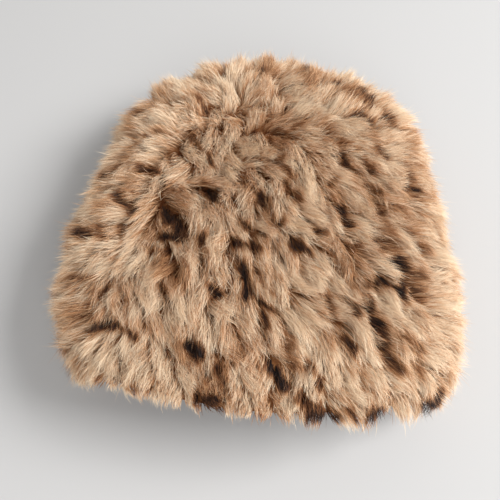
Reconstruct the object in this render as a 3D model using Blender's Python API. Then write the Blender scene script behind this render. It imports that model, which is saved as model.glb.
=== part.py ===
"""Knitted rabbit fur hat, lying on its side.

A stretch-knit base is closed at the crown and open at the rim. Seven rows of fur strip run round it,
and an oval fur cap closes the crown. +Y runs from the rim to the crown, +X is the hat's right and the
underside lies on the plane Z = 0. All sizes are in metres.
"""

import math
from typing import NamedTuple

import bmesh
import bpy
import numpy as np

# The knitted base as it lies
BASE_WIDTH = 0.226
BASE_LENGTH = 0.244
BASE_HEIGHT = 0.056
KNIT_WALL = 0.003
UPPER_SHARE = 0.56  # of the height lies above the widest line
ROUND_START = 0.79  # share of the length at which the crown begins to close
RIM_SLANT = 0.022  # the rim's lower edge stands back this far from its upper edge
RIM_BOW = 0.015  # its corners stand back this far from its middle
RIM_SKEW = 0.005  # its left corner stands back this far from its right corner
SLANT_ENDS = 0.55  # share of the length at which all three have faded
UPPER_SQUARENESS = 0.03
UNDER_SQUARENESS = 0.09

# The fur on it
FUR_DEPTH = 0.023  # from the base to the envelope of the tips
PRESSED_FUR = 0.013  # the same under the hat, where its weight lies on it
FLAT_SHARE = 1.3  # fur pressed to less than this many times that lies flat
FUR_LEAN = 0.012  # how far the tips lie towards the rim
ROW_COUNT = 7
ROWS_END = 0.90  # share of the run at which the last row meets the crown cap
ROW_WAVE = 0.0025  # the strips don't run dead level
LOCKS_ROUND = 21
LOCK_OVERHANG = 0.0045  # how far a lock's tip hangs over the row below
LIP_REACH = 0.013  # fur past the rim of the knit
LIP_TUCK = 0.0025  # how far it turns in over the edge of the knit

# Clearances
SEAT_GAP = 0.0003  # fur to base
ROW_GAP = 0.0006  # row to row

# Each lock is drawn by three sections round the hat: a valley, a crest and a shoulder
LOCK_FORM = (0.0, 1.0, 0.7)
SECTIONS_ROUND = LOCKS_ROUND * len(LOCK_FORM)
SLOPE_STEP = 1e-4
SEED = 7


class Section(NamedTuple):
    """A section of the base. All but along are shares of its width, height and width."""

    along: float
    width: float
    height: float
    shift: float


SECTIONS = (
    Section(along=-0.15, width=0.82, height=0.68, shift=0.012),
    Section(along=0.00, width=0.93, height=0.84, shift=0.008),
    Section(along=0.12, width=0.98, height=0.96, shift=0.003),
    Section(along=0.30, width=1.00, height=1.00, shift=-0.002),
    Section(along=0.48, width=0.96, height=0.99, shift=-0.002),
    Section(along=0.64, width=0.88, height=0.96, shift=0.002),
    Section(along=0.80, width=0.81, height=0.92, shift=0.006),
    Section(along=1.00, width=0.74, height=0.90, shift=0.010),
)


class Dent(NamedTuple):
    """A hollow in the upper wall: its middle and reach as shares of half the width and of the length."""

    across: float
    along: float
    reach_across: float
    reach_along: float
    depth: float  # share of the height


DENTS = (
    Dent(across=-0.25, along=0.62, reach_across=0.30, reach_along=0.16, depth=0.13),
    Dent(across=0.45, along=0.52, reach_across=0.22, reach_along=0.10, depth=0.09),
    Dent(across=-0.62, along=0.34, reach_across=0.20, reach_along=0.10, depth=0.07),
)


def clear_scene():
    """Removes what the startup file holds."""
    for obj in list(bpy.data.objects):
        bpy.data.objects.remove(obj, do_unlink=True)


def read_sections(column, along):
    """A column at a share along the hat: a cubic through the table's rows, with each row's mean slope."""
    at = np.array([section.along for section in SECTIONS])
    value = np.array([getattr(section, column) for section in SECTIONS])
    slope = np.gradient(value, at)
    low = np.clip(np.searchsorted(at, along) - 1, 0, len(at) - 2)
    span = at[low + 1] - at[low]
    step = (along - at[low]) / span
    rest = 1 - step
    return (
        rest**2 * (1 + 2 * step) * value[low]
        + rest**2 * step * span * slope[low]
        + step**2 * (1 + 2 * rest) * value[low + 1]
        - step**2 * rest * span * slope[low + 1]
    )


def run_length():
    """The length of the middle line over the upper wall, rim to crown tip, and the part before it rounds."""
    straight = ROUND_START * BASE_LENGTH
    reach = BASE_LENGTH - straight
    rise = BASE_HEIGHT / 2
    quarter_ellipse = math.pi / 2 * math.sqrt((reach**2 + rise**2) / 2)
    return straight + quarter_ellipse, straight


def base_point(turn, run):
    """The base's outer surface at an angle round the hat and a share of the run from rim to crown tip.

    A section is a squared ellipse: its cosine and sine each take a share of their third harmonic.
    Past the straight part, the run turns through a right angle and the section closes with its cosine.
    """
    whole, straight = run_length()
    closing = np.clip((run - straight / whole) / (1 - straight / whole), 0, 1) * math.pi / 2
    along = np.minimum(run * whole / straight, 1) * ROUND_START + (1 - ROUND_START) * np.sin(closing)
    close = np.cos(closing)
    half_width = BASE_WIDTH / 2 * read_sections("width", along) * close
    height = BASE_HEIGHT * read_sections("height", along)
    above = np.sin(turn) >= 0
    square = np.where(above, UPPER_SQUARENESS, UNDER_SQUARENESS)
    half_height = height * close * np.where(above, UPPER_SHARE, 1 - UPPER_SHARE)
    across = (1 + square) * np.cos(turn) - square * np.cos(3 * turn)
    up = (1 + square) * np.sin(turn) + square * np.sin(3 * turn)
    x = BASE_WIDTH * read_sections("shift", along) + half_width * across
    z = PRESSED_FUR + (1 - UPPER_SHARE) * height + half_height * up
    for dent in DENTS:
        away = ((across * close - dent.across) / dent.reach_across) ** 2
        away = away + ((along - dent.along) / dent.reach_along) ** 2
        z = z - BASE_HEIGHT * dent.depth * np.exp(-away) * np.maximum(up, 0)
    back = RIM_SLANT * (1 - up) / 2 + RIM_BOW * across**2 + RIM_SKEW * (0.5 - x / BASE_WIDTH)
    y = along * BASE_LENGTH + back * np.maximum(1 - along / SLANT_ENDS, 0) ** 2
    return np.stack([x, y, z], axis=-1)


def base_normal(turn, run):
    """The outward normal there, from the surface's slopes round and along the hat."""
    run = np.minimum(run, 1 - 20 * SLOPE_STEP)
    round_slope = base_point(turn + SLOPE_STEP, run) - base_point(turn - SLOPE_STEP, run)
    run_slope = base_point(turn, run + SLOPE_STEP) - base_point(turn, run - SLOPE_STEP)
    normal = np.cross(run_slope, round_slope)
    return normal / np.linalg.norm(normal, axis=-1, keepdims=True)


def fur_depth(turn, run):
    """The depth of the fur: full, or what is left between the base and the plane that it lies on."""
    point = base_point(turn, run)
    normal = base_normal(turn, run)
    down = np.maximum(-normal[..., 2], 0.05)
    return np.minimum(FUR_DEPTH, point[..., 2] / down)


def fur_point(turn, run, height):
    """A point in the fur. Its height is a share of the depth there, and it leans to the rim as it rises."""
    whole, _ = run_length()
    leaned = run - FUR_LEAN * height / whole
    depth = fur_depth(turn, leaned)[..., None]
    point = base_point(turn, leaned) + base_normal(turn, leaned) * depth * np.asarray(height)[..., None]
    point[..., 2] = np.maximum(point[..., 2], 0)
    return point


def seated_point(turn, run, above):
    """A point a real distance above the base's outer surface, or below it if that is negative."""
    return base_point(turn, run) + base_normal(turn, run) * above


def even_turns():
    """Angles that space the sections evenly round the fur's outline at the widest section."""
    fine = np.linspace(0, 2 * math.pi, 2001)
    middle = np.full_like(fine, 0.4)
    outline = base_point(fine, middle) + base_normal(fine, middle) * FUR_DEPTH
    length = np.concatenate([[0], np.cumsum(np.linalg.norm(np.diff(outline, axis=0), axis=1))])
    return np.interp(np.arange(SECTIONS_ROUND) / SECTIONS_ROUND * length[-1], length, fine)


def row_edge(turn, index):
    """Where one strip meets the next, as a share of the run. The rim's edge is level."""
    whole, _ = run_length()
    level = ROWS_END * index / ROW_COUNT
    wave = np.sin(2 * turn + 2.1 * index) + 0.6 * np.sin(3 * turn + 1.3 * index)
    return level + (index > 0) * ROW_WAVE / whole * wave


def lock_crests(row):
    """How far each section stands in a lock, 0 in a valley and up to 1 on a crest. Each lock differs a little."""
    random = np.random.default_rng(SEED + row)
    size = random.uniform(0.72, 1.0, LOCKS_ROUND)
    return np.roll((size[:, None] * np.array(LOCK_FORM)).ravel(), row * 2)


def pressed_share(turn, run):
    """1 where the fur stands to its full depth, and 0 where it is pressed flat under the hat."""
    flat = FLAT_SHARE * PRESSED_FUR
    return np.clip((fur_depth(turn, run) - flat) / max(FUR_DEPTH - flat, SEAT_GAP), 0, 1)


def strip_rings(row, turns):
    """The closed outline of a strip at each section, in order: seat, crown side, top, tips and rim side."""
    whole, _ = run_length()
    low = row_edge(turns, row) + ROW_GAP / 2 / whole * (row > 0)
    high = row_edge(turns, row + 1) - ROW_GAP / 2 / whole
    wide = high - low
    lock = lock_crests(row) * pressed_share(turns, (low + high) / 2)
    pressed = 1 - pressed_share(turns, (low + high) / 2)
    crest = np.maximum(lock, pressed)
    tip = LOCK_OVERHANG / whole * (0.25 + 0.75 * lock)
    seats = 1 + int(np.max(high) * whole > run_length()[1])
    rings = [seated_point(turns, low + wide * k / seats, SEAT_GAP) for k in range(seats + 1)]
    rings += [
        fur_point(turns, high, np.full_like(turns, 0.60)),
        fur_point(turns, low + 0.80 * wide, 0.76 + 0.06 * lock),
        fur_point(turns, low + 0.50 * wide, 0.86 + 0.14 * crest),
        fur_point(turns, low + 0.16 * wide, 0.88 + 0.12 * crest),
    ]
    if row > 0:
        rings.append(fur_point(turns, low - tip, 0.80 + 0.06 * lock))
        rings.append(fur_point(turns, low, np.full_like(turns, 0.66)))
        return rings
    lip = LIP_REACH / whole
    rings.append(fur_point(turns, low - lip * (0.35 + 0.25 * lock), 0.74 + 0.06 * lock))
    rings.append(seated_point(turns, low - lip, FUR_DEPTH * 0.10))
    rings.append(seated_point(turns, low - lip * 0.6, -LIP_TUCK))
    rings.append(seated_point(turns, low - SEAT_GAP / whole, -LIP_TUCK))
    rings.append(seated_point(turns, low - SEAT_GAP / whole, SEAT_GAP))
    return rings


def cap_runs():
    """The shares of the run at which the crown cap and the base under it have a ring."""
    return [ROWS_END + (1 - ROWS_END) * step for step in (0.33, 0.66)]


def cap_rings(turns):
    """The crown cap from its inner pole out to its edge and back over its top to its outer pole."""
    whole, _ = run_length()
    low = row_edge(turns, ROW_COUNT) + ROW_GAP / 2 / whole
    lock = lock_crests(ROW_COUNT)
    tip = LOCK_OVERHANG / whole * (0.25 + 0.75 * lock)
    rings = [seated_point(turns, np.full_like(turns, run), SEAT_GAP) for run in reversed(cap_runs())]
    rings.append(seated_point(turns, low, SEAT_GAP))
    rings.append(fur_point(turns, low, np.full_like(turns, 0.66)))
    rings.append(fur_point(turns, low - tip, 0.80 + 0.06 * lock))
    rings.append(fur_point(turns, low + 0.16 * (1 - low), 0.88 + 0.12 * lock))
    rings.append(fur_point(turns, low + 0.52 * (1 - low), 0.88 + 0.12 * lock))
    return rings


def base_rings(turns):
    """The base from its inner pole to the rim and back over its outer surface to its outer pole."""
    outer = [row_edge(turns, 0)]
    for row in range(ROW_COUNT):
        low, high = row_edge(turns, row), row_edge(turns, row + 1)
        if np.max(high) * run_length()[0] > run_length()[1]:
            outer.append((low + high) / 2)
        outer.append(high)
    outer += [np.full_like(turns, run) for run in cap_runs()]
    inside = [seated_point(turns, run, -KNIT_WALL) for run in reversed(outer)]
    return inside + [base_point(turns, run) for run in outer]


def pole(above):
    """A point above the crown's tip, on the base's long axis."""
    tip = base_point(np.array([0.0]), np.array([1.0]))[0]
    return tip + np.array([0, above, 0])


def make_material(name, colour, roughness):
    """A plain principled material."""
    material = bpy.data.materials.new(name)
    material.use_nodes = True
    shader = material.node_tree.nodes["Principled BSDF"]
    shader.inputs["Base Color"].default_value = (*colour, 1)
    shader.inputs["Roughness"].default_value = roughness
    shader.inputs["Metallic"].default_value = 0
    return material


def link_mesh(name, points, faces, material):
    """Makes a mesh object, smooth but for its sharp edges, with its faces pointing out."""
    mesh = bpy.data.meshes.new(name)
    mesh.from_pydata(points.tolist(), [], faces)
    shape = bmesh.new()
    shape.from_mesh(mesh)
    bmesh.ops.recalc_face_normals(shape, faces=shape.faces)
    shape.to_mesh(mesh)
    shape.free()
    mesh.shade_smooth()
    mesh.set_sharp_from_angle(angle=math.radians(40))
    mesh.materials.append(material)
    obj = bpy.data.objects.new(name, mesh)
    bpy.context.scene.collection.objects.link(obj)
    return obj


def band_faces(below, above, count, other_diagonal):
    """Two triangles for each step round between two rings that start at these numbers."""
    faces = []
    for k in range(count):
        after = (k + 1) % count
        a, b, c, d = below + k, below + after, above + after, above + k
        faces += [(a, b, d), (b, c, d)] if other_diagonal else [(a, b, c), (a, c, d)]
    return faces


def make_strip(row, turns, material):
    """One row of fur strip, a closed ring. Its rim side is split as its neighbour's crown side is."""
    rings = strip_rings(row, turns)
    count, last = len(turns), len(rings) - 1
    faces = []
    for k in range(len(rings)):
        faces += band_faces(k * count, (k + 1) % len(rings) * count, count, k == last)
    name = "rim_fur_row" if row == 0 else f"fur_row_{row + 1}"
    return link_mesh(name, np.concatenate(rings), faces, material)


def make_dome(name, rings, inner_pole, outer_pole, other_diagonals, material):
    """A closed solid from an inner pole, through its rings, to an outer pole."""
    count = len(rings[0])
    points = np.concatenate([*rings, inner_pole[None], outer_pole[None]])
    inner, outer = len(points) - 2, len(points) - 1
    faces = []
    for k in range(len(rings) - 1):
        faces += band_faces(k * count, (k + 1) * count, count, k in other_diagonals)
    top = (len(rings) - 1) * count
    for k in range(count):
        after = (k + 1) % count
        faces += [(after, k, inner), (top + k, top + after, outer)]
    return link_mesh(name, points, faces, material)


def level_hat(parts):
    """Puts the origin under the middle of the hat's box, on the plane that it lies on."""
    corners = np.concatenate([np.array([vertex.co for vertex in part.data.vertices]) for part in parts])
    middle = (corners.min(axis=0) + corners.max(axis=0)) / 2
    for part in parts:
        points = np.array([vertex.co for vertex in part.data.vertices])
        points[:, :2] -= middle[:2]
        part.data.vertices.foreach_set("co", points.ravel())
        part.data.update()


def build_hat():
    """Builds the base, its rows of fur and the crown cap."""
    clear_scene()
    knit = make_material("knit", (0.20, 0.13, 0.08), 0.95)
    fur = make_material("fur", (0.56, 0.40, 0.26), 0.9)
    turns = even_turns()
    cap = cap_rings(turns)
    parts = [make_dome("knitted_base", base_rings(turns), pole(-KNIT_WALL), pole(0), (), knit)]
    parts += [make_strip(row, turns, fur) for row in range(ROW_COUNT)]
    parts.append(
        make_dome("crown_fur", cap, pole(SEAT_GAP), pole(FUR_DEPTH), (0, 1, 2), fur)
    )
    level_hat(parts)


build_hat()
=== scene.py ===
"""Dresses the rabbit fur hat: its knit, its fur pile, its guard hair and the light that it lies in."""

import math
from typing import NamedTuple

import bpy
import numpy as np
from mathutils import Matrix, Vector


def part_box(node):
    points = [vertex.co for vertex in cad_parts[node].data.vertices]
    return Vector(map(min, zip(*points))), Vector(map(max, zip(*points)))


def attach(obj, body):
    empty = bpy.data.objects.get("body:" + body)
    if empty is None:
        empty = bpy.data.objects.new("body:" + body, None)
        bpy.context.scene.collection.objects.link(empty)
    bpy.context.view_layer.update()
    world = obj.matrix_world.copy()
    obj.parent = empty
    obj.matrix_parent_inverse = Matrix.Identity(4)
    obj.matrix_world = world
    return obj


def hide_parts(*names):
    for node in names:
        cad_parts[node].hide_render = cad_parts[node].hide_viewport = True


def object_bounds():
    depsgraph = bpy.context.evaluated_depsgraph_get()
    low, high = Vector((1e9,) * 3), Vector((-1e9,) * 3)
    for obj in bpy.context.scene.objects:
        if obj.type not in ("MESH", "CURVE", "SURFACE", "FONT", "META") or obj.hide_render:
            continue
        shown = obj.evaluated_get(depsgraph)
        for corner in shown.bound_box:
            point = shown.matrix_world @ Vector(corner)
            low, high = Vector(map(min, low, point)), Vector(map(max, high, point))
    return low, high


bl_info = {
    "name": "Rabbit fur hat",
    "version": (1, 0, 0),
    "blender": (4, 5, 0),
    "location": "3D View > Sidebar > Fur hat",
    "description": "Builds the knit, the fur and the stage of a rabbit fur hat",
    "category": "Object",
}

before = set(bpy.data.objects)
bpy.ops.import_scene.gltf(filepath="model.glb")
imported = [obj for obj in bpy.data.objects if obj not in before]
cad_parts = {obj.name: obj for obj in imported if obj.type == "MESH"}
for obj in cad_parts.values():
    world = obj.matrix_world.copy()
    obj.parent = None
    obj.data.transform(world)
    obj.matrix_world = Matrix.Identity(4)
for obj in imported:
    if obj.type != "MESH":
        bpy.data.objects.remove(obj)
CAD_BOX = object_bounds()
LOW, HIGH = (np.array(corner) for corner in CAD_BOX)
HALF_WIDTH = (HIGH[0] - LOW[0]) / 2
LENGTH = HIGH[1] - LOW[1]
TAU = 2 * math.pi
ROWS = 8  # seven strips and the crown cap
MAP_NAME = "OFBake"
CROWN_MIDDLE = (-0.05, 0.70)  # in half widths and lengths, and so is the whorl
WHORL = (-0.18, 0.72)
WHORL_REACH = 0.32
COMB_REACH = 0.017  # metres, and so is the warp
STROKE_WARP = 0.0016
STROKE_SPREAD = 1.12  # how far a stroke's tone runs past its reach
BASE_TONE = 0.82
FLOOR_GAP = 0.0005  # hairs stay this far above the floor


class Section(NamedTuple):
    """A section of the base. All but along are shares of its width, height and width."""

    along: float
    width: float
    height: float
    shift: float


SECTIONS = (
    Section(-0.15, 0.82, 0.68, 0.012),
    Section(0.00, 0.93, 0.84, 0.008),
    Section(0.12, 0.98, 0.96, 0.003),
    Section(0.30, 1.00, 1.00, -0.002),
    Section(0.48, 0.96, 0.99, -0.002),
    Section(0.64, 0.88, 0.96, 0.002),
    Section(0.80, 0.81, 0.92, 0.006),
    Section(1.00, 0.74, 0.90, 0.010),
)


class Dent(NamedTuple):
    """A hollow in the upper wall, in half widths and lengths, and its depth as a share of the height."""

    across: float
    along: float
    reach_across: float
    reach_along: float
    depth: float


DENTS = (
    Dent(-0.25, 0.62, 0.30, 0.16, 0.13),
    Dent(0.45, 0.52, 0.22, 0.10, 0.09),
    Dent(-0.62, 0.34, 0.20, 0.10, 0.07),
)


class Stroke(NamedTuple):
    """A streak of fur of one tone on the upper side: its two ends, in half widths and lengths. Dark streaks
    are partly the fur's black spots and partly painted shade in the recesses between rows; light ones are
    partly cream fur and partly a painted highlight on lit crests.
    """

    across: float
    along: float
    to_across: float
    to_along: float
    reach: float  # millimetres, to either side
    tone: float  # 0 is black and 1 is cream


# Dark strokes: the fur's black spots, and painted shade in the recesses between rows. Light strokes: cream
# fur, and a painted highlight on lit crests.
STROKES = tuple(Stroke(*row) for row in (
    (-0.72, 0.750, -0.55, 0.777, 2.3, 0.06), (-0.37, 0.777, -0.34, 0.756, 2.6, 0.26),
    (-0.64, 0.669, -0.56, 0.657, 1.3, 0.22), (-0.38, 0.663, -0.34, 0.630, 2.6, 0.18),
    (-0.53, 0.638, -0.46, 0.570, 2.3, 0.24), (-0.63, 0.575, -0.53, 0.556, 2.6, 0.20),
    (-0.29, 0.631, -0.26, 0.587, 1.7, 0.20), (-0.29, 0.532, -0.24, 0.496, 4.0, 0.06),
    (0.00, 0.504, 0.06, 0.436, 4.6, 0.03), (-0.09, 0.675, -0.03, 0.698, 1.3, 0.20),
    (-0.03, 0.689, 0.13, 0.685, 1.3, 0.22), (-0.85, 0.587, -0.74, 0.588, 2.3, 0.14),
    (-0.77, 0.525, -0.68, 0.473, 3.0, 0.08), (-0.65, 0.469, -0.61, 0.442, 2.6, 0.14),
    (-0.46, 0.452, -0.38, 0.409, 4.6, 0.14), (-0.47, 0.388, -0.36, 0.387, 2.6, 0.05),
    (-0.14, 0.879, -0.06, 0.905, 2.6, 0.03), (-0.29, 0.880, -0.25, 0.894, 2.0, 0.28),
    (-0.15, 0.809, -0.12, 0.841, 1.3, 0.24), (0.16, 0.901, 0.20, 0.932, 2.0, 0.14),
    (0.26, 0.854, 0.32, 0.865, 2.0, 0.26), (0.34, 0.872, 0.44, 0.872, 2.3, 0.10),
    (0.42, 0.831, 0.54, 0.819, 5.3, 0.40), (0.48, 0.855, 0.56, 0.841, 2.6, 0.10),
    (0.62, 0.794, 0.67, 0.744, 2.6, 0.10), (0.45, 0.767, 0.58, 0.736, 2.0, 0.12),
    (0.53, 0.716, 0.56, 0.671, 3.3, 0.33), (0.56, 0.657, 0.61, 0.639, 3.0, 0.07),
    (0.38, 0.668, 0.45, 0.656, 2.6, 0.18), (0.37, 0.639, 0.41, 0.604, 3.0, 0.05),
    (0.32, 0.552, 0.37, 0.570, 2.6, 0.06), (0.50, 0.618, 0.54, 0.586, 2.6, 0.20),
    (0.51, 0.553, 0.56, 0.541, 3.0, 0.09), (0.72, 0.636, 0.75, 0.604, 2.3, 0.20),
    (0.75, 0.583, 0.79, 0.584, 1.7, 0.10), (0.76, 0.558, 0.82, 0.529, 1.7, 0.16),
    (0.54, 0.480, 0.66, 0.497, 2.6, 0.08), (0.37, 0.498, 0.40, 0.448, 3.3, 0.10),
    (0.10, 0.539, 0.17, 0.494, 3.3, 0.33), (0.08, 0.601, 0.13, 0.562, 3.3, 0.40),
    (0.05, 0.800, 0.11, 0.792, 1.7, 0.34), (0.12, 0.691, 0.18, 0.705, 2.0, 0.33),
    (-0.93, 0.418, -0.85, 0.409, 3.3, 0.14), (-0.80, 0.421, -0.75, 0.384, 2.3, 0.24),
    (-0.68, 0.424, -0.65, 0.380, 1.7, 0.25), (-0.52, 0.362, -0.43, 0.353, 2.3, 0.18),
    (-0.26, 0.386, -0.21, 0.355, 3.6, 0.04), (-0.21, 0.353, -0.14, 0.336, 2.0, 0.09),
    (-0.90, 0.301, -0.77, 0.291, 2.0, 0.26), (-0.72, 0.241, -0.68, 0.268, 2.0, 0.20),
    (-0.24, 0.271, -0.17, 0.257, 3.0, 0.06), (-0.43, 0.272, -0.40, 0.257, 2.0, 0.22),
    (-0.37, 0.321, -0.30, 0.271, 3.3, 0.33), (-0.44, 0.319, -0.33, 0.280, 7.3, 0.50),
    (-0.95, 0.169, -0.89, 0.164, 2.6, 0.10), (-0.92, 0.114, -0.88, 0.106, 2.6, 0.12),
    (-0.77, 0.163, -0.72, 0.174, 2.0, 0.07), (-0.72, 0.174, -0.67, 0.180, 2.0, 0.05),
    (-0.67, 0.180, -0.61, 0.178, 2.1, 0.05), (-0.61, 0.178, -0.52, 0.157, 2.4, 0.05),
    (-0.69, 0.076, -0.65, 0.088, 2.0, 0.25), (-0.69, 0.061, -0.61, 0.067, 2.3, 0.22),
    (-0.54, 0.060, -0.50, 0.054, 2.3, 0.18), (-0.28, 0.147, -0.20, 0.122, 3.6, 0.03),
    (-0.21, 0.041, -0.15, 0.039, 3.6, 0.12), (-0.19, 0.025, -0.12, 0.020, 2.6, 0.24),
    (-0.13, 0.104, -0.11, 0.078, 3.0, 0.12), (-0.09, 0.439, -0.03, 0.401, 3.3, 0.22),
    (-0.13, 0.390, -0.09, 0.372, 3.6, 0.04), (-0.06, 0.375, 0.00, 0.362, 2.6, 0.10),
    (0.15, 0.377, 0.23, 0.370, 3.0, 0.06), (0.17, 0.397, 0.19, 0.383, 2.6, 0.20),
    (0.26, 0.425, 0.30, 0.416, 2.3, 0.10), (0.41, 0.393, 0.46, 0.402, 3.6, 0.08),
    (0.54, 0.412, 0.57, 0.393, 3.0, 0.13), (0.61, 0.457, 0.65, 0.355, 5.3, 0.42),
    (0.66, 0.370, 0.67, 0.285, 2.6, 0.08), (0.50, 0.303, 0.58, 0.317, 3.6, 0.03),
    (0.58, 0.317, 0.65, 0.296, 3.3, 0.06), (0.73, 0.306, 0.77, 0.294, 3.3, 0.28),
    (0.73, 0.418, 0.85, 0.417, 1.7, 0.33), (0.80, 0.507, 0.89, 0.498, 1.3, 0.26),
    (0.75, 0.354, 0.80, 0.336, 1.7, 0.33), (-0.07, 0.331, -0.04, 0.257, 3.2, 0.05),
    (0.05, 0.249, 0.12, 0.228, 4.0, 0.02), (0.03, 0.219, 0.06, 0.191, 2.3, 0.13),
    (0.07, 0.268, 0.11, 0.244, 2.0, 0.08), (-0.01, 0.323, 0.03, 0.280, 1.3, 0.20),
    (0.30, 0.282, 0.34, 0.240, 3.0, 0.18), (0.40, 0.269, 0.46, 0.233, 3.0, 0.08),
    (0.51, 0.268, 0.54, 0.220, 3.0, 0.06), (0.54, 0.220, 0.58, 0.178, 3.2, 0.05),
    (0.40, 0.179, 0.44, 0.158, 2.6, 0.10), (0.13, 0.205, 0.16, 0.166, 3.3, 0.43),
    (0.15, 0.153, 0.21, 0.101, 4.0, 0.42), (0.09, 0.117, 0.14, 0.080, 4.0, 0.02),
    (0.25, 0.131, 0.30, 0.096, 3.0, 0.14), (0.30, 0.096, 0.29, 0.064, 3.0, 0.14),
    (0.22, 0.056, 0.30, 0.041, 4.0, 0.24), (0.24, 0.022, 0.38, 0.030, 3.4, 0.10),
    (0.44, 0.069, 0.46, 0.046, 1.7, 0.18), (0.46, 0.032, 0.60, 0.040, 4.2, 0.05),
    (0.60, 0.040, 0.72, 0.052, 4.2, 0.03), (0.72, 0.052, 0.81, 0.066, 4.6, 0.02),
    (0.81, 0.066, 0.87, 0.102, 4.2, 0.03), (0.06, 0.014, 0.15, 0.011, 2.3, 0.26),
    (0.58, 0.159, 0.65, 0.129, 3.0, 0.26), (0.54, 0.094, 0.58, 0.085, 2.6, 0.08),
    (0.63, 0.219, 0.66, 0.200, 2.3, 0.18), (0.72, 0.209, 0.76, 0.174, 2.0, 0.18),
    (0.74, 0.143, 0.76, 0.125, 1.7, 0.30), (-0.64, 0.625, -0.54, 0.629, 5.3, 0.97),
    (-0.63, 0.713, -0.46, 0.707, 4.3, 0.98), (-0.54, 0.595, -0.33, 0.504, 3.3, 0.92),
    (-0.32, 0.659, -0.19, 0.598, 3.3, 0.92), (-0.21, 0.551, -0.14, 0.484, 3.0, 0.93),
    (-0.12, 0.540, -0.08, 0.460, 2.3, 0.92), (-0.06, 0.577, 0.03, 0.513, 3.0, 0.94),
    (0.28, 0.792, 0.50, 0.686, 7.9, 0.98), (0.17, 0.647, 0.26, 0.502, 5.0, 0.97),
    (0.40, 0.544, 0.53, 0.475, 3.0, 0.95), (0.21, 0.355, 0.35, 0.286, 2.6, 0.95),
    (0.31, 0.358, 0.43, 0.275, 3.0, 0.98), (0.11, 0.351, 0.20, 0.283, 3.0, 0.93),
    (0.08, 0.286, 0.19, 0.206, 2.3, 0.97), (-0.19, 0.383, -0.09, 0.286, 3.0, 0.93),
    (-0.25, 0.243, -0.17, 0.175, 3.6, 0.97), (-0.20, 0.174, -0.18, 0.117, 2.6, 0.96),
    (-0.60, 0.374, -0.50, 0.295, 5.0, 0.94), (-0.51, 0.264, -0.42, 0.173, 5.0, 0.93),
    (-0.81, 0.339, -0.66, 0.302, 5.0, 0.90), (-0.69, 0.134, -0.51, 0.091, 7.9, 0.94),
    (-0.36, 0.092, -0.29, 0.046, 5.3, 0.98), (-0.02, 0.101, 0.01, 0.045, 4.3, 0.93),
    (0.22, 0.181, 0.31, 0.114, 3.0, 0.98), (0.17, 0.044, 0.22, 0.013, 3.0, 0.93),
    (0.59, 0.285, 0.74, 0.214, 3.6, 1.00), (0.45, 0.219, 0.54, 0.189, 3.0, 0.97),
    (0.86, 0.513, 0.92, 0.238, 9.2, 0.92), (0.50, 0.357, 0.62, 0.330, 4.3, 0.93),
    (0.59, 0.074, 0.72, 0.051, 6.6, 0.90), (0.14, 0.472, 0.29, 0.451, 4.3, 0.90),
    (-0.28, 0.458, -0.16, 0.406, 5.0, 0.92), (0.52, 0.157, 0.56, 0.095, 3.0, 0.95),
    (0.66, 0.720, 0.72, 0.665, 4.0, 0.92), (0.64, 0.486, 0.71, 0.400, 4.6, 0.90),
    (-0.11, 0.221, -0.01, 0.180, 5.9, 0.88), (0.25, 0.797, 0.43, 0.690, 5.9, 1.04),
    (0.12, 0.799, 0.19, 0.759, 5.3, 0.98), (-0.43, 0.824, -0.21, 0.857, 4.6, 0.98),
    (0.12, 0.600, 0.20, 0.559, 3.3, 1.08), (0.20, 0.559, 0.25, 0.502, 4.0, 1.10),
    (-0.10, 0.695, -0.03, 0.584, 2.6, 1.00), (-0.56, 0.716, -0.45, 0.737, 4.0, 0.96),
    (-0.79, 0.512, -0.72, 0.528, 3.3, 0.96), (-0.24, 0.384, -0.18, 0.332, 2.6, 1.06),
    (0.09, 0.341, 0.16, 0.301, 2.6, 1.06), (0.05, 0.267, 0.11, 0.233, 2.6, 1.08),
    (0.11, 0.233, 0.17, 0.197, 2.6, 1.08), (0.18, 0.344, 0.29, 0.287, 2.6, 1.04),
    (0.26, 0.354, 0.37, 0.301, 2.6, 1.04), (0.18, 0.191, 0.24, 0.156, 3.3, 1.10),
    (0.24, 0.156, 0.31, 0.116, 3.3, 1.06), (-0.24, 0.201, -0.18, 0.142, 2.6, 1.06),
    (-0.18, 0.142, -0.19, 0.096, 2.6, 1.02), (-0.44, 0.221, -0.38, 0.135, 4.0, 1.00),
    (0.69, 0.259, 0.74, 0.207, 3.3, 1.10), (0.56, 0.270, 0.65, 0.213, 2.6, 1.02),
    (0.49, 0.158, 0.56, 0.108, 2.6, 1.00), (0.85, 0.252, 0.82, 0.164, 5.3, 1.02),
    (0.45, 0.083, 0.48, 0.039, 3.3, 1.00), (-0.60, 0.362, -0.51, 0.288, 4.0, 1.02),
    (-0.87, 0.365, -0.73, 0.309, 4.0, 0.96), (-0.69, 0.125, -0.58, 0.072, 5.3, 1.04),
    (-0.60, 0.154, -0.51, 0.098, 4.6, 0.98), (-0.36, 0.095, -0.31, 0.059, 4.0, 1.04),
    (-0.90, 0.167, -0.79, 0.121, 3.3, 1.02), (0.32, 0.652, 0.40, 0.544, 2.6, 0.98),
    (-0.05, 0.100, 0.03, 0.061, 3.3, 0.98), (0.21, 0.097, 0.29, 0.062, 3.3, 0.96),
    (0.38, 0.439, 0.46, 0.407, 2.6, 1.02), (-0.14, 0.526, -0.07, 0.450, 2.6, 0.98),
    (-0.30, 0.323, -0.23, 0.260, 2.6, 0.96),
))


class Comb(NamedTuple):
    """The way the hair lies at a place on the upper side, in degrees from +X towards +Y."""

    across: float
    along: float
    angle: float


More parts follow.
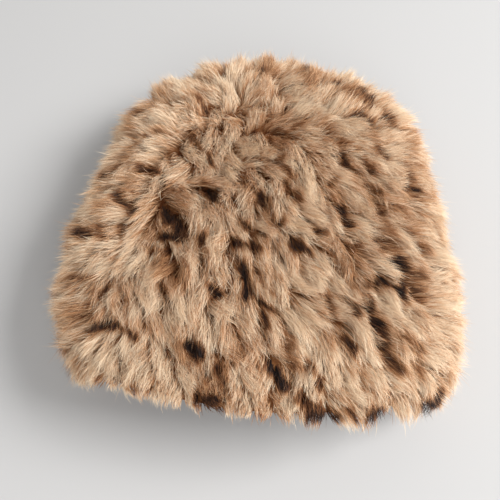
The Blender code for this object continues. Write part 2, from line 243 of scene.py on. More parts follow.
COMBS = tuple(Comb(*row) for row in (
    (-0.12, 0.86, 94), (-0.38, 0.82, 134),
    (-0.62, 0.71, -176), (-0.71, 0.52, -140),
    (-0.81, 0.42, -161), (-0.93, 0.25, 176),
    (-0.88, 0.14, -161), (-0.66, 0.10, -94),
    (-0.38, 0.59, -47), (-0.09, 0.51, -76),
    (0.18, 0.58, -69), (0.32, 0.75, -16),
    (0.16, 0.76, -3), (0.53, 0.81, 46),
    (0.63, 0.69, -3), (0.67, 0.53, -32),
    (0.29, 0.30, -44), (0.14, 0.22, -53),
    (-0.04, 0.05, -86), (0.35, 0.06, -76),
    (0.70, 0.21, -56), (0.86, 0.30, 3),
    (0.83, 0.12, -7), (0.74, 0.07, -42),
    (-0.52, 0.38, -77), (-0.26, 0.27, -64),
    (-0.04, 0.38, -66), (-0.36, 0.75, 165),
    (0.26, 0.86, 72), (-0.23, 0.63, -45),
    (-0.41, 0.53, -53), (-0.24, 0.54, -61),
    (0.00, 0.56, -56), (0.47, 0.55, -62),
    (0.65, 0.62, -25), (-0.16, 0.78, -13),
    (0.05, 0.82, 11), (-0.54, 0.62, -156),
    (-0.75, 0.48, -151), (-0.55, 0.31, -72),
    (-0.69, 0.32, -126), (-0.38, 0.22, -63),
    (-0.22, 0.18, -73), (-0.06, 0.19, -60),
    (0.25, 0.16, -62), (0.43, 0.21, -40),
    (0.56, 0.15, -56), (-0.08, 0.29, -65),
    (0.38, 0.41, -50), (0.54, 0.37, -32),
    (0.59, 0.27, -49), (0.55, 0.06, -74),
    (-0.53, 0.11, -79), (-0.76, 0.12, -118),
    (-0.31, 0.06, -69), (0.13, 0.09, -78),
    (0.19, 0.45, -63), (-0.92, 0.34, -176),
))


def length_property(name, description, default):
    """A size in metres."""
    return bpy.props.FloatProperty(name=name, description=description, default=default, min=0, unit="LENGTH")


def number_property(name, description, default):
    """A plain number, such as a share, an angle, a power or a focal length."""
    return bpy.props.FloatProperty(name=name, description=description, default=default)


def count_property(name, description, default):
    """A whole number of copies."""
    return bpy.props.IntProperty(name=name, description=description, default=default, min=0)


def colour_property(name, description, red, green, blue):
    """A colour stated in display values from 0 to 255, and kept as Blender keeps it."""
    linear = [(value / 255) ** 2.2 for value in (red, green, blue)]
    return bpy.props.FloatVectorProperty(
        name=name, description=description, default=linear, subtype="COLOR", size=3, min=0, max=1
    )


class HatSizes(bpy.types.PropertyGroup):
    """The sizes of the knitted base and the fur on it."""

    base_width: length_property("Base width", "Width of the knitted base as it lies", 0.226)
    base_length: length_property("Base length", "Length of the knitted base, rim to crown", 0.244)
    base_height: length_property("Base height", "Height of the knitted base as it lies", 0.056)
    knit_wall: length_property("Knit wall", "Thickness of the knit", 0.003)
    fur_depth: length_property("Fur depth", "From the base to the envelope of the tips", 0.023)
    pressed_fur: length_property("Pressed fur", "Depth of the fur under the hat", 0.013)
    lip_reach: length_property("Lip reach", "Fur past the rim of the knit", 0.013)
    rim_slant: length_property("Rim slant", "How far the lower edge stands back", 0.022)
    rim_bow: length_property("Rim bow", "How far the corners stand back", 0.015)
    rim_skew: length_property("Rim skew", "How far the left corner stands back", 0.005)
    upper_share: number_property("Upper share", "Share of the height above the widest line", 0.56)
    round_start: number_property("Round start", "Share of the length where the crown closes", 0.79)
    rows_end: number_property("Rows end", "Share of the run where the crown cap starts", 0.90)


class FurLook(bpy.types.PropertyGroup):
    """The locks, the hairs and their colours."""

    guard_hairs: count_property("Guard hairs", "Long hairs in all", 108000)
    down_hairs: count_property("Down hairs", "Short hairs in all", 125000)
    lock_gap: length_property("Lock gap", "Distance from lock to lock", 0.0110)
    wisp_gap: length_property("Wisp gap", "Distance from wisp to wisp in a lock", 0.0017)
    hair_length: length_property("Hair length", "Mean length of a lock", 0.0235)
    guard_width: length_property("Guard width", "Width of a ribbon of guard hair", 0.00032)
    down_width: length_property("Down width", "Width of a ribbon of down", 0.00030)
    pile_share: number_property("Pile share", "Height of the pile as a share of the fur's depth", 0.62)
    black: colour_property("Black", "The darkest tips", 42, 33, 32)
    umber: colour_property("Umber", "Dark brown hair", 88, 60, 44)
    rust: colour_property("Rust", "Red brown hair", 146, 96, 62)
    tan: colour_property("Tan", "The main colour", 198, 147, 103)
    fawn: colour_property("Fawn", "Light tips", 238, 194, 152)
    cream: colour_property("Cream", "The lightest tips", 255, 234, 204)
    knit: colour_property("Knit", "The knitted base", 84, 62, 46)


class StageLook(bpy.types.PropertyGroup):
    """The floor, the light and the camera."""

    floor: colour_property("Floor", "The plain floor", 205, 204, 203)
    key_power: number_property("Key power", "Soft light from the right", 49)
    front_power: number_property("Front power", "Wide light from the camera's side", 22)
    fill: number_property("Fill", "Strength of the light all round", 0.34)
    elevation: number_property("Elevation", "Degrees of the camera above the horizon", 66)
    turn: number_property("Turn", "Degrees that the camera is turned", 4)
    distance: length_property("Distance", "From the camera to what it looks at", 0.436)
    lens: number_property("Lens", "Focal length in mm", 44.86)


def smooth_step(value, low, high):
    """0 below low, 1 above high, and smooth between them."""
    share = np.clip((value - low) / (high - low), 0, 1)
    return share * share * (3 - 2 * share)


def unit(vectors):
    """The vectors at length 1."""
    return vectors / np.maximum(np.linalg.norm(vectors, axis=-1, keepdims=True), 1e-12)


def dot(a, b):
    """The dot product of vectors, kept as a column."""
    return np.sum(a * b, axis=-1, keepdims=True)


def waves(points, size, seed):
    """A smooth field from -1 to 1 that changes over about size metres: a sum of sines at several slants."""
    random = np.random.default_rng(seed)
    total = np.zeros(points.shape[:-1])
    for _ in range(7):
        way = unit(random.normal(size=3)) * TAU / (size * random.uniform(1.2, 2.6))
        total += np.sin(points @ way + random.uniform(0, TAU))
    return np.clip(total / 3.2, -1, 1)


class HatSurface:
    """The base's outer surface and the fur on it, as functions of the turn round it and the run along it.

    A section is a squared ellipse: its cosine and sine each take a share of their third harmonic.
    Past the straight part, the run turns through a right angle and the section closes with its cosine.
    """

    def __init__(self, sizes):
        self.sizes = sizes
        self.straight = sizes.round_start * sizes.base_length
        reach = sizes.base_length - self.straight
        self.whole = self.straight + math.pi / 2 * math.sqrt((reach**2 + (sizes.base_height / 2) ** 2) / 2)
        self.place = np.zeros(3)
        turn, run = np.meshgrid(np.linspace(0, TAU, 361), np.linspace(0, 1, 181))
        points = self.base(turn, run).reshape(-1, 3)
        low, high = (np.array(corner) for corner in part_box("knitted_base"))
        self.place = (low + high - points.min(axis=0) - points.max(axis=0)) / 2 * np.array([1, 1, 0])

    def column(self, name, along):
        """A column of the table at a share along the hat, through a cubic."""
        at = np.array([section.along for section in SECTIONS])
        value = np.array([getattr(section, name) for section in SECTIONS])
        slope = np.gradient(value, at)
        low = np.clip(np.searchsorted(at, along) - 1, 0, len(at) - 2)
        span = at[low + 1] - at[low]
        step = (along - at[low]) / span
        rest = 1 - step
        start = rest**2 * ((1 + 2 * step) * value[low] + step * span * slope[low])
        return start + step**2 * ((1 + 2 * rest) * value[low + 1] - rest * span * slope[low + 1])

    def base(self, turn, run):
        """A point on the base's outer surface."""
        size = self.sizes
        start = self.straight / self.whole
        closing = np.clip((run - start) / (1 - start), 0, 1) * math.pi / 2
        along = np.minimum(run / start, 1) * size.round_start + (1 - size.round_start) * np.sin(closing)
        close = np.cos(closing)
        half_width = size.base_width / 2 * self.column("width", along) * close
        height = size.base_height * self.column("height", along)
        above = np.sin(turn) >= 0
        square = np.where(above, 0.03, 0.09)
        half_height = height * close * np.where(above, size.upper_share, 1 - size.upper_share)
        across = (1 + square) * np.cos(turn) - square * np.cos(3 * turn)
        up = (1 + square) * np.sin(turn) + square * np.sin(3 * turn)
        x = size.base_width * self.column("shift", along) + half_width * across
        z = size.pressed_fur + (1 - size.upper_share) * height + half_height * up
        for dent in DENTS:
            away = ((across * close - dent.across) / dent.reach_across) ** 2
            away = away + ((along - dent.along) / dent.reach_along) ** 2
            z = z - size.base_height * dent.depth * np.exp(-away) * np.maximum(up, 0)
        back = size.rim_slant * (1 - up) / 2 + size.rim_bow * across**2
        back = back + size.rim_skew * (0.5 - x / size.base_width)
        y = along * size.base_length + back * np.maximum(1 - along / 0.55, 0) ** 2
        return np.stack([x, y, z], axis=-1) + self.place

    def normal(self, turn, run):
        """The outward normal."""
        step = 1e-4
        run = np.minimum(run, 1 - 20 * step)
        along = self.base(turn, run + step) - self.base(turn, run - step)
        return unit(np.cross(along, self.base(turn + step, run) - self.base(turn - step, run)))

    def depth(self, turn, run):
        """The fur's depth: full, or what is left above the plane that it lies on."""
        down = np.maximum(-self.normal(turn, run)[..., 2], 0.05)
        return np.minimum(self.sizes.fur_depth, self.base(turn, run)[..., 2] / down)

    def fur(self, turn, run, height):
        """A point in the fur. The height is a share of its depth."""
        rise = self.normal(turn, run) * (self.depth(turn, run) * height)[..., None]
        point = self.base(turn, run) + rise
        point[..., 2] = np.maximum(point[..., 2], 0)
        return point

    def seat(self, turn, run, above):
        """A point a real distance above the base's outer surface."""
        return self.base(turn, run) + self.normal(turn, run) * np.asarray(above)[..., None]

    def row_edge(self, turn, index):
        """Where one strip meets the next, as a share of the run. The rim's edge is level."""
        level = self.sizes.rows_end * index / (ROWS - 1)
        wave = np.sin(2 * turn + 2.1 * index) + 0.6 * np.sin(3 * turn + 1.3 * index)
        return level + (index > 0) * 0.0025 / self.whole * wave

    def row_span(self, turn, row):
        """The run at which a row starts and ends. The first starts on the lip, and the cap ends at the tip."""
        lip = self.sizes.lip_reach / self.whole * 0.75
        low = self.row_edge(turn, row) - (row == 0) * lip
        high = self.row_edge(turn, row + 1) if row < ROWS - 1 else np.ones_like(turn)
        return low, high


def row_node(row):
    """The name of a row's CAD node."""
    if row == 0:
        return "rim_fur_row"
    return "crown_fur" if row == ROWS - 1 else f"fur_row_{row + 1}"


def plan_shares(points):
    """Places as half widths and lengths of the hat."""
    return points[..., 0] / HALF_WIDTH, (points[..., 1] - LOW[1]) / LENGTH


def hair_way(points, normals):
    """The way the hair lies, along the surface.

    On top, it is the mean of the combs nearby and of the way out from the crown's middle. Down the sides it
    falls away, and underneath it lies towards the rim.
    """
    across, along = plan_shares(points)
    out = np.stack([(across - CROWN_MIDDLE[0]) * HALF_WIDTH, (along - CROWN_MIDDLE[1]) * LENGTH], axis=-1)
    way = unit(out) * 0.20 * smooth_step(np.linalg.norm(out, axis=-1), 0, 0.03)[..., None]
    for comb in COMBS:
        away = ((across - comb.across) * HALF_WIDTH) ** 2 + ((along - comb.along) * LENGTH) ** 2
        angle = math.radians(comb.angle)
        way = way + np.exp(-away / COMB_REACH**2)[..., None] * np.array([math.cos(angle), math.sin(angle)])
    way = unit(way)
    under = smooth_step(0.055 - points[..., 2], 0, 0.035)[..., None]
    side = 4 * under * (1 - under)
    flat = np.concatenate([way, np.zeros_like(under)], axis=-1)
    below = np.concatenate([way * np.array([0.35, 0]) - np.array([0, 1]), np.zeros_like(under)], axis=-1)
    whole = flat * (1 - under) + below * under - side * np.array([0, 0, 0.8])
    return unit(whole - dot(whole, normals) * normals)


def hair_tone(points, keen):
    """The tone of the fur at each point, 0 black to 1 cream: broad waves, and the charted strokes on top,
    which hold painted shade and a painted highlight as well as the fur's own spots.

    A stroke's share falls off as e to the power of minus its distance over its reach, to the power of 3.2.
    Keen is how fully the hair takes the tone of the dark strokes. Their outlines are warped by waves.
    Underneath, where no stroke is charted, dark spots come from waves.
    """
    tone = BASE_TONE + 0.14 * waves(points, 0.030, 11) + 0.15 * waves(points, 0.011, 12)
    top = smooth_step(points[..., 2], 0.012, 0.026)
    wild = smooth_step(waves(points, 0.013, 13), 0.42, 0.70) * (1 - top) * keen
    tone = tone + (0.15 - tone) * wild
    across, along = plan_shares(points)
    across = across + STROKE_WARP / HALF_WIDTH * waves(points, 0.006, 14)
    along = along + STROKE_WARP / LENGTH * waves(points, 0.006, 15)
    place = np.stack([across * HALF_WIDTH, along * LENGTH], axis=-1)
    # The strokes paint the fur's spots, and also painted shade in the recesses between rows and a painted
    # highlight on lit crests.
    for stroke in STROKES:
        start = np.array([stroke.across * HALF_WIDTH, stroke.along * LENGTH])
        span = np.array([stroke.to_across * HALF_WIDTH, stroke.to_along * LENGTH]) - start
        step = np.clip(((place - start) @ span) / (span @ span), 0, 1)[..., None]
        reach = stroke.reach / 1000 * STROKE_SPREAD
        away = np.sum((place - start - step * span) ** 2, axis=-1) / reach**2
        share = top * np.exp(-(away**1.6)) * (keen if stroke.tone < 0.5 else 1)
        tone = tone + (stroke.tone - tone) * share
    return tone


def scatter(surface, row, count, random):
    """Places spread evenly over a row, fewer underneath, as turns and runs.

    The row is cut into cells. Each takes hairs by its area, and they are strewn inside it.
    """
    cells_round, cells_along = 360, 14
    turn, share = np.meshgrid(
        (np.arange(cells_round) + 0.5) / cells_round * TAU, (np.arange(cells_along) + 0.5) / cells_along
    )
    low, high = surface.row_span(turn, row)
    run = low + (high - low) * share
    point = surface.fur(turn, run, np.full_like(turn, 0.8))
    round_step = np.roll(point, -1, axis=1) - point
    along_step = np.gradient(point, axis=0)
    area = np.linalg.norm(np.cross(round_step, along_step), axis=-1)
    weight = area * (0.22 + 0.78 * smooth_step(point[..., 2], 0.010, 0.045))
    cell = random.choice(weight.size, count, p=(weight / weight.sum()).ravel())
    turns = (cell % cells_round + random.random(count)) / cells_round * TAU
    shares = (cell // cells_round + random.random(count)) / cells_along
    low, high = surface.row_span(turns, row)
    return turns, low + (high - low) * shares, weight.sum()


def row_locks(surface, row, gap, random):
    """The roots of a row's locks: staggered lines round the hat, each place a little off."""
    middle = np.linspace(0, TAU, 361)
    low, high = surface.row_span(middle, row)
    outline = surface.fur(middle, (low + high) / 2, np.full_like(middle, 0.8))
    girth = np.linalg.norm(np.diff(outline, axis=0), axis=1)
    length = np.concatenate([[0], np.cumsum(girth)])
    lines = max(round(float(np.mean(high - low)) * surface.whole / (gap * 0.95)), 2)
    around = max(round(length[-1] / gap), 6)
    line, number = np.meshgrid(np.arange(lines), np.arange(around), indexing="ij")
    place = (number + 0.5 * (line % 2) + random.uniform(-0.38, 0.38, line.shape)) % around
    turns = np.interp(place / around * length[-1], length, middle).ravel()
    shares = ((line + 0.5 + random.uniform(-0.40, 0.40, line.shape)) / lines).ravel()
    low, high = surface.row_span(turns, row)
    return turns, low + (high - low) * shares


class Locks(NamedTuple):
    """A row's locks: root, way along the fur, normal, length, lift, bend down, sideways curl and so on.

    Gather is how far the hairs draw in to the lock towards its tip, and tone is what it adds to theirs.
    Keen is how fully a lock takes the tone of a dark stroke.
    """

    root: np.ndarray
    way: np.ndarray
    normal: np.ndarray
    length: np.ndarray
    lift: np.ndarray
    droop: np.ndarray
    curl: np.ndarray
    gather: np.ndarray
    tone: np.ndarray
    keen: np.ndarray


def make_locks(surface, row, look, random):
    """The locks of a row.

    They cross and stand up in the whorl, puff up or draw in to ropes in places, lie lower in the dark
    strokes and are shorter at the rim, and there most of all on the left.
    """
    turns, runs = row_locks(surface, row, look.lock_gap, random)
    count = len(turns)
    root = surface.fur(turns, runs, np.full(count, look.pile_share))
    normal = surface.normal(turns, runs)
    way = hair_way(root, normal)
    side = np.cross(normal, way)
    across, along = plan_shares(root)
    whorl = np.exp(-((across - WHORL[0]) ** 2 + 4 * (along - WHORL[1]) ** 2) / WHORL_REACH**2)
    swing = (0.22 + 0.80 * whorl) * random.normal(size=count) + 0.28 * waves(root, 0.020, 21)
    way = way * np.cos(swing)[:, None] + side * np.sin(swing)[:, None]
    rim = 1 - smooth_step(along, 0.04, 0.24)
    short = 0.50 - 0.32 * smooth_step(across, 0.10, 0.50)
    dark = 1 - smooth_step(hair_tone(root + way * 0.6 * look.hair_length, 1), 0.15, 0.50)
    ropes = np.exp(-(((across - 0.30) / 0.34) ** 2) - ((along - 0.32) / 0.17) ** 2)
    puff = 0.45 + 0.35 * waves(root, 0.035, 24) + 0.45 * smooth_step(along, 0.52, 0.74) - 0.60 * ropes
    puff = np.clip(puff, 0, 1)
    gather = 0.42 + 0.25 * waves(root, 0.040, 23) + 0.25 * ropes + 0.12 * random.normal(size=count)
    rise = 0.0042 * waves(root, 0.020, 22) - 0.0036 * dark + 0.0030 * whorl
    length = look.hair_length * random.uniform(0.78, 1.22, count)
    return Locks(
        root=root + normal * rise[:, None],
        way=way,
        normal=normal,
        length=length * (1 - short * rim) * (1 - 0.15 * dark) * (1 - 0.20 * puff) * (1 - 0.35 * whorl),
        lift=random.uniform(0.20, 0.46, count) + 0.42 * puff,
        droop=0.26 + 0.30 * puff + 0.45 * rim,
        curl=random.normal(size=count) * 0.26,
        gather=np.clip(gather * (1 - 0.8 * puff), 0, 0.78),
        tone=random.normal(size=count) * 0.090 * (1 - 0.4 * puff),
        keen=np.clip(random.normal(size=count) * 0.35 + 1.10, 0.2, 1),
    )


class HairKind(NamedTuple):
    """A kind of hair: its levels and reach as shares of a lock, its extra lift, loose share and counts."""

    name: str
    levels: tuple
    reach: float
    lift: float
    loose: float
    width: float
    counts: list


def lock_path(locks, chosen, share):
    """Points at a share along each chosen lock: it rises from its root, bends back down and curls aside.

    The step is the way times the share, plus the normal times lift by share less droop by share squared,
    plus the side times curl by share squared, all times the lock's length.
    """
    length = locks.length[chosen][:, None]
    side = np.cross(locks.normal[chosen], locks.way[chosen])
    rise = locks.lift[chosen][:, None] * share - locks.droop[chosen][:, None] * share**2
    bend = locks.curl[chosen][:, None] * share**2
    step = locks.way[chosen] * share + locks.normal[chosen] * rise + side * bend
    return locks.root[chosen] + step * length


def scramble(keys):
    """A number from 0 to 1 for each key, with no order to it: the fraction of a large sine."""
    return np.abs(np.sin(keys) * 43758.5453) % 1


def grow_hairs(surface, row, locks, look, kind, random):
    """A row's hairs of one kind as points at the kind's levels, with the tone of each.

    Each hair takes the path of the lock nearest its root, and draws in to it towards the tip. Within a lock,
    hairs gather again in wisps, and each wisp strays its own way and has its own tone. Hairs near the lock's
    middle are the longest and are painted lighter, a painted highlight on the lock's crest, and hairs at its
    edge darker, painted shade between locks.
    """
    count = kind.counts[row]
    turns, runs, _ = scatter(surface, row, count, random)
    root = surface.fur(turns, runs, np.full(count, look.pile_share))
    distance = np.full(count, np.inf)
    chosen = np.zeros(count, dtype=int)
    for number in range(len(locks.root)):
        away = root - locks.root[number]
        along = away @ locks.way[number]
        apart = np.sqrt(1.7 * np.sum(away * away, axis=1) - 1.3 * along**2)
        nearer = apart < distance
        distance[nearer] = apart[nearer]
        chosen[nearer] = number
    offset = root - locks.root[chosen]
    near = np.clip(1 - distance / look.lock_gap, 0, 1)
    reach = (0.62 + 0.36 * near) * random.uniform(0.62, 1.12, count) * kind.reach
    cell = np.floor(offset / look.wisp_gap + 0.5)
    key = cell @ np.array([12.9898, 78.233, 37.719]) + 5.31 * chosen
    wisp_stray = np.stack([scramble(key), scramble(key + 1), scramble(key + 2)], axis=-1) - 0.5
    loose = (random.random(count) < kind.loose)[:, None]
    stray = np.clip(random.normal(size=(count, 3)), -2.2, 2.2) * np.where(loose, 0.0028, 0.0009)
    stray = stray + wisp_stray * 0.0048
    stray = stray * (0.4 + 0.6 * smooth_step(plan_shares(root)[1], 0.02, 0.14))[:, None]
    gather = np.where(loose, 0.0, locks.gather[chosen][:, None])
    bright = random.random(count) < 0.10
    shade = locks.tone[chosen] + 0.10 * random.normal(size=count) + 0.42 * (scramble(key + 3) - 0.5)
    # The near term is painted light: lighter hairs at the lock's middle as a painted highlight on its crest,
    # darker ones at its edge as painted shade between locks.
    shade = shade + 0.12 * (near - 0.5) + 0.20 * bright
    reach = reach * (1 + 0.10 * bright)
    keen = np.clip(locks.keen[chosen] + 0.15 * random.normal(size=count), 0, 1)
    levels = []
    for share in kind.levels:
        along = (share * reach)[:, None]
        path = lock_path(locks, chosen, along) + locks.normal[chosen] * kind.lift * along * look.hair_length
        own = offset * (1 - 0.7 * share**1.5) + cell * look.wisp_gap * 0.7 * share**1.5
        dome = locks.normal[chosen] * (near * 0.0055 * share * (2 - share))[:, None]
        point = path + own * (1 - gather * share**1.2) + stray * share**1.5 + dome
        point[:, 2] = np.maximum(point[:, 2], FLOOR_GAP + 0.0012 * (1 - share))
        levels.append(point)
    tones = []
    for share, point in zip(kind.levels, levels):
        tone = hair_tone(0.45 * point + 0.55 * levels[-2], keen)
        tones.append(np.clip(tone + (shade + 0.20 * share - 0.07) * (0.25 + 0.9 * tone), 0.02, 0.98))
    return np.stack(levels, axis=1), surface.normal(turns, runs), np.stack(tones, axis=1)


def map_layer(mesh, coordinates):
    """Gives a mesh its own map, with one pair of numbers for each face corner."""
    layer = mesh.uv_layers.new(name=MAP_NAME)
    layer.data.foreach_set("uv", np.ascontiguousarray(coordinates, np.float32).ravel())


def link_piece(name, mesh, material, node):
    """Links a piece that stands for a CAD node."""
    mesh.materials.append(material)
    mesh.validate()
    obj = bpy.data.objects.new(name, mesh)
    bpy.context.scene.collection.objects.link(obj)
    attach(obj, "root")
    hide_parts(node)


def ribbon_mesh(name, levels, normals, tone, kind, random):
    """Hairs as ribbons of quads with a pointed end. They lie flat on the fur, each a little twisted.

    A ribbon with n levels has 2n - 1 points, n - 2 quads and one triangle.
    """
    count, last = len(levels), levels.shape[1] - 1
    tangent = unit(levels[:, last] - levels[:, 0])
    facing = unit(normals + random.normal(size=normals.shape) * 0.50)
    side = unit(np.cross(tangent, facing)) * (kind.width * random.uniform(0.7, 1.25, count) / 2)[:, None]
    points = np.empty((count, 2 * last + 1, 3))
    for level in range(last):
        share = 1.0 if level < last - 1 else 0.75
        points[:, 2 * level] = levels[:, level] - side * share
        points[:, 2 * level + 1] = levels[:, level] + side * share
    points[:, 2 * last] = levels[:, last]
    corners = [2 * level + step for level in range(last - 1) for step in (0, 1, 3, 2)]
    corners = np.array(corners + [2 * last - 2, 2 * last - 1, 2 * last])
    size = len(corners)
    mesh = bpy.data.meshes.new(name)
    mesh.vertices.add(count * (2 * last + 1))
    mesh.vertices.foreach_set("co", points.astype(np.float32).ravel())
    mesh.loops.add(count * size)
    indices = np.arange(count)[:, None] * (2 * last + 1) + corners
    mesh.loops.foreach_set("vertex_index", indices.astype(np.int32).ravel())
    mesh.polygons.add(count * last)
    starts = np.arange(count)[:, None] * size + 4 * np.arange(last)
    mesh.polygons.foreach_set("loop_start", starts.astype(np.int32).ravel())
    mesh.update(calc_edges=True)
    level = corners // 2
    across = np.where(corners == 2 * last, 0, np.where(corners % 2 == 0, -1, 1)) * 0.004
    up = 0.02 + 0.96 * np.array(kind.levels)[level]
    coordinates = np.stack([tone[:, level] + across, np.broadcast_to(up, (count, size))], axis=-1)
    map_layer(mesh, coordinates)
    mesh.shade_smooth()
    return mesh


def ring_mesh(name, rings, closed):
    """A mesh through rings of points. It closes on its first ring, or on a pole at each end.

    The map runs round the hat along its width and from ring to ring along its height.
    """
    points = np.stack(rings)
    lines, count = points.shape[:2]
    line, number = np.meshgrid(np.arange(lines if closed else lines - 1), np.arange(count), indexing="ij")
    after, following = (line + 1) % lines, (number + 1) % count
    here, there = line * count, after * count
    corners = np.stack([here + number, here + following, there + following, there + number], axis=-1)
    corners = corners.reshape(-1, 4)
    u = np.stack([number, number + 1, number + 1, number], axis=-1).reshape(-1, 4) / count
    v = np.stack([line, line, line + 1, line + 1], axis=-1).reshape(-1, 4) / line.shape[0]
    vertices = points.reshape(-1, 3)
    faces = corners.tolist()
    if not closed:
        poles = np.stack([points[0].mean(axis=0), points[-1].mean(axis=0)])
        vertices = np.concatenate([vertices, poles])
        top, first = (lines - 1) * count, len(vertices) - 2
        faces += [[(k + 1) % count, k, first] for k in range(count)]
        faces += [[top + k, top + (k + 1) % count, first + 1] for k in range(count)]
    mesh = bpy.data.meshes.new(name)
    mesh.from_pydata(vertices.tolist(), [], faces)
    coordinates = np.stack([u, v * 0.9 + 0.05], axis=-1).reshape(-1, 2)
    if not closed:
        step = np.arange(count)[:, None] / count
        low = np.concatenate([step + 1 / count, step, step + 0.5 / count], axis=1)
        high = np.concatenate([step, step + 1 / count, step + 0.5 / count], axis=1)
        ends = np.concatenate([np.stack([low, np.tile([0.05, 0.05, 0.0], (count, 1))], axis=-1),
                               np.stack([high, np.tile([0.95, 0.95, 1.0], (count, 1))], axis=-1)])
        coordinates = np.concatenate([coordinates, ends.reshape(-1, 2)])
    map_layer(mesh, coordinates)
    mesh.shade_smooth()
    return mesh


def turned_out(mesh):
    """Turns a closed mesh's faces outward where they point in."""
    mesh.calc_loop_triangles()
    corner = np.empty(len(mesh.loop_triangles) * 3, np.int32)
    mesh.loop_triangles.foreach_get("vertices", corner)
    points = np.empty(len(mesh.vertices) * 3, np.float32)
    mesh.vertices.foreach_get("co", points)
    triangles = points.reshape(-1, 3)[corner.reshape(-1, 3)].astype(float)
    volume = np.einsum("ij,ij->i", triangles[:, 0], np.cross(triangles[:, 1], triangles[:, 2])).sum()
    if volume < 0:
        mesh.flip_normals()
    return mesh


def pile_mesh(surface, row, look, name):
    """The dense pile under a row's guard hair: a closed ring, or the cap's dome, with a rough top."""
    turns = np.linspace(0, TAU, 217)[:-1]
    low, high = surface.row_span(turns, row)
    wide = high - low
    whole = np.ones_like(turns)

    def rough(run, height):
        """Points on the rough top: the height times one plus two fields of waves."""
        flat = surface.fur(turns, run, whole * height)
        relief = 1 + 0.13 * waves(flat, 0.009, 30 + row) + 0.09 * waves(flat, 0.0045, 50 + row)
        return surface.fur(turns, run, whole * height * relief)

    gap = 0.0004
    if row == ROWS - 1:
        rings = [surface.seat(turns, low + wide * share, gap) for share in (0.96, 0.6, 0.3, 0.0)]
        up = (0.0, 0.12, 0.3, 0.5, 0.7, 0.86, 0.97)
        rings += [rough(low + wide * share, look.pile_share) for share in up]
        return turned_out(ring_mesh(name, rings, closed=False))
    rings = [surface.seat(turns, low + wide * share, gap) for share in (0.0, 0.33, 0.66, 1.0)]
    if row == 0:
        start = surface.row_edge(turns, 0)
        rings[0] = surface.seat(turns, start, gap)
    back = (1.0, 0.86, 0.72, 0.58, 0.44, 0.3, 0.16, 0.0)
    rings += [rough(low + wide * share, look.pile_share) for share in back]
    if row == 0:
        rings.append(surface.seat(turns, low - 0.003, 0.0055 * whole))
        rings.append(surface.seat(turns, low, -0.0022 * whole))
        rings.append(surface.seat(turns, (low + start) / 2, -0.0026 * whole))
        rings.append(surface.seat(turns, start - 0.0015, -0.0022 * whole))
    return turned_out(ring_mesh(name, rings, closed=True))


def knit_mesh(surface, name):
    """The knitted base: an outer and an inner skin that close at the crown and meet at the rim.

    The inner skin's ribs are a cosine of 72 turns round the hat.
    """
    turns = np.linspace(0, TAU, 289)[:-1]
    whole = np.ones_like(turns)
    runs = np.concatenate([np.linspace(0.002, 0.9, 20), np.linspace(0.92, 0.995, 5)])
    wall = surface.sizes.knit_wall
    rib = 0.0004 * np.cos(72 * turns)
    inner = [surface.seat(turns, whole * run, -wall + 0.0004 + rib) for run in reversed(runs)]
    outer = [surface.seat(turns, whole * run, -0.0004 * whole) for run in runs]
    return turned_out(ring_mesh(name, inner + outer, closed=False))


def new_material(name):
    """A material with a bare principled shader, and its nodes and links."""
    material = bpy.data.materials.new(name)
    material.use_nodes = True
    tree = material.node_tree
    shader = tree.nodes["Principled BSDF"]
    shader.inputs["Metallic"].default_value = 0
    return material, tree, shader


def tone_ramp(tree, look, shade):
    """A colour ramp through the fur's tones, with each channel darkened by its own factor."""
    ramp = tree.nodes.new("ShaderNodeValToRGB")
    colours = (look.black, look.umber, look.rust, look.tan, look.fawn, look.cream)
    steps = list(zip((0.14, 0.28, 0.42, 0.60, 0.80, 1.0), colours))
    points = ramp.color_ramp.elements
    points[0].position, points[1].position = steps[0][0], steps[-1][0]
    for position, _ in steps[1:-1]:
        points.new(position)
    for point, (_, colour) in zip(points, steps):
        point.color = (*(channel * part for channel, part in zip(colour, shade)), 1)
    return ramp


def hair_material(look):
    """Hair: the map's width picks the tone, and its height runs from the dark root to the light tip."""
    material, tree, shader = new_material("guard_hair")
    place = tree.nodes.new("ShaderNodeUVMap")
    place.uv_map = MAP_NAME
    parts = tree.nodes.new("ShaderNodeSeparateXYZ")
    tree.links.new(place.outputs["UV"], parts.inputs["Vector"])
    root, tip = tone_ramp(tree, look, (0.60, 0.48, 0.38)), tone_ramp(tree, look, (1, 1, 1))
    tree.links.new(parts.outputs["X"], root.inputs["Fac"])
    tree.links.new(parts.outputs["X"], tip.inputs["Fac"])
    height = tree.nodes.new("ShaderNodeMapRange")
    height.interpolation_type = "SMOOTHSTEP"
    height.inputs["From Min"].default_value = 0.0
    height.inputs["From Max"].default_value = 0.75
    tree.links.new(parts.outputs["Y"], height.inputs["Value"])
    mix = tree.nodes.new("ShaderNodeMix")
    mix.data_type = "RGBA"
    tree.links.new(height.outputs["Result"], mix.inputs["Factor"])
    tree.links.new(root.outputs["Color"], mix.inputs["A"])
    tree.links.new(tip.outputs["Color"], mix.inputs["B"])
    tree.links.new(mix.outputs["Result"], shader.inputs["Base Color"])
    shader.inputs["Roughness"].default_value = 0.62
    shader.inputs["Specular IOR Level"].default_value = 0.35
    return material


